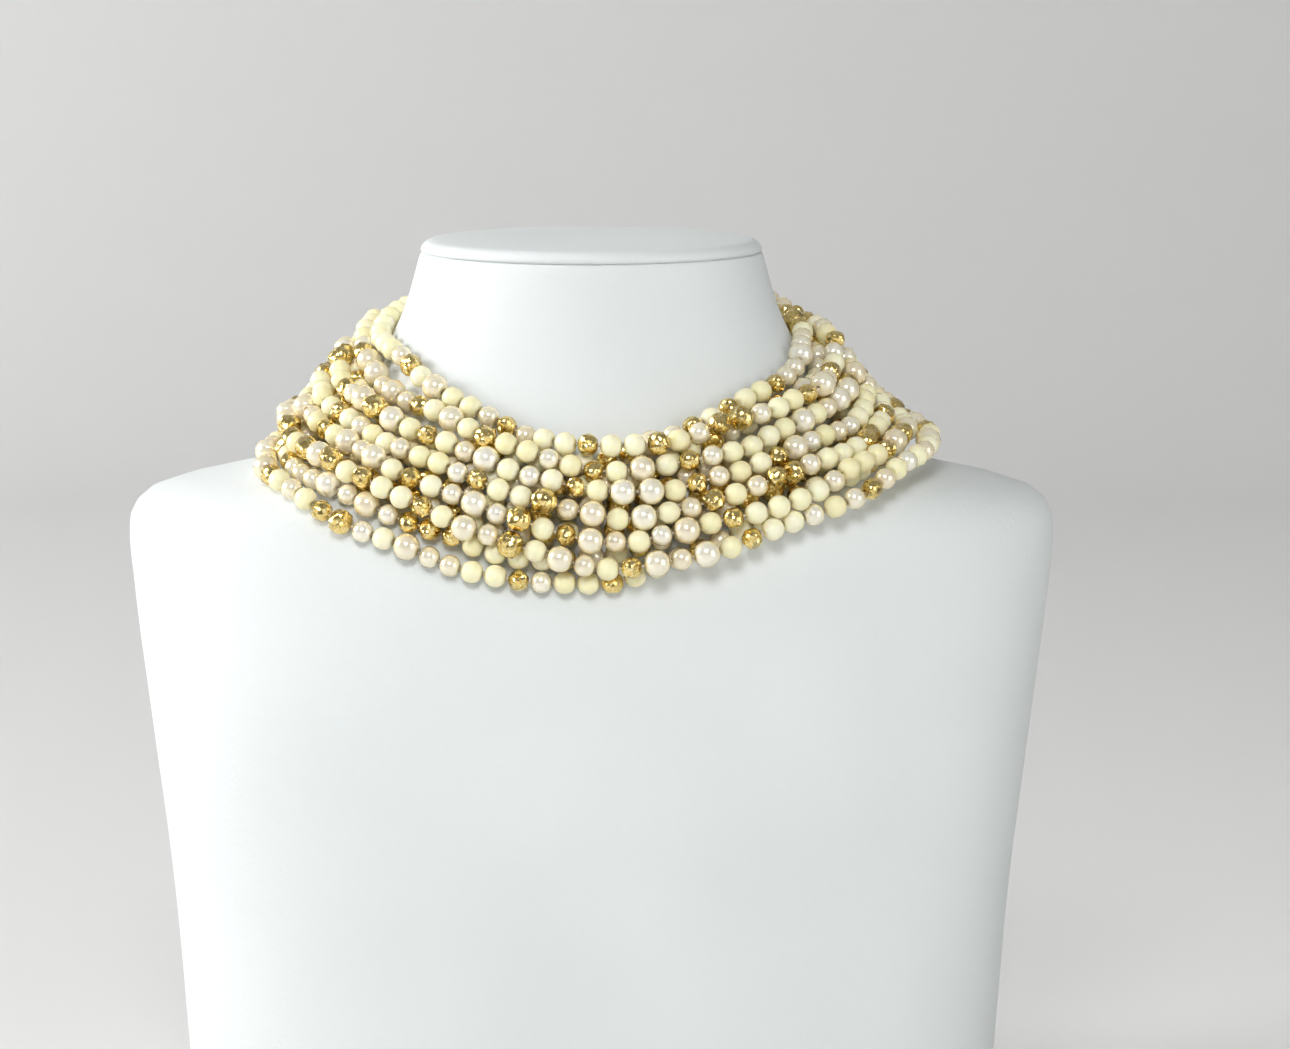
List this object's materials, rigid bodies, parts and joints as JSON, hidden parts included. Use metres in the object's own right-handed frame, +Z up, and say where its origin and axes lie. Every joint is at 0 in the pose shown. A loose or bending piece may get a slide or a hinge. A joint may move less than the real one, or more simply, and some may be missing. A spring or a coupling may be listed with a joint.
{
  "type": "beaded choker necklace on neck bust",
  "caption": "Wide choker collar of beaded strands in two crossing layers, closed by one bar clasp at the nape, standing on a plain headless neck bust.",
  "frame": {"origin": "middle of the base that the bust stands on", "axes": "+Z up, -Y to the front of the necklace, +X to the right in the front view"},
  "size_m": [0.27, 0.1502, 0.269],
  "materials": {
    "leatherette": "matte white leatherette with a fine grain",
    "bead_string": "cream, pearl and gold beads mixed on white thread",
    "clasp_gold": "polished gold plate"
  },
  "bodies": {
    "root": {"neck_bust": "leatherette", "clasp": "clasp_gold", "under_strand_1": "bead_string", "under_strand_2": "bead_string", "under_strand_3": "bead_string", "under_strand_4": "bead_string", "under_strand_5": "bead_string", "under_strand_6": "bead_string", "over_strand_1": "bead_string", "over_strand_2": "bead_string", "over_strand_3": "bead_string", "over_strand_4": "bead_string", "over_strand_5": "bead_string", "over_strand_6": "bead_string"}
  },
  "joints": []
}
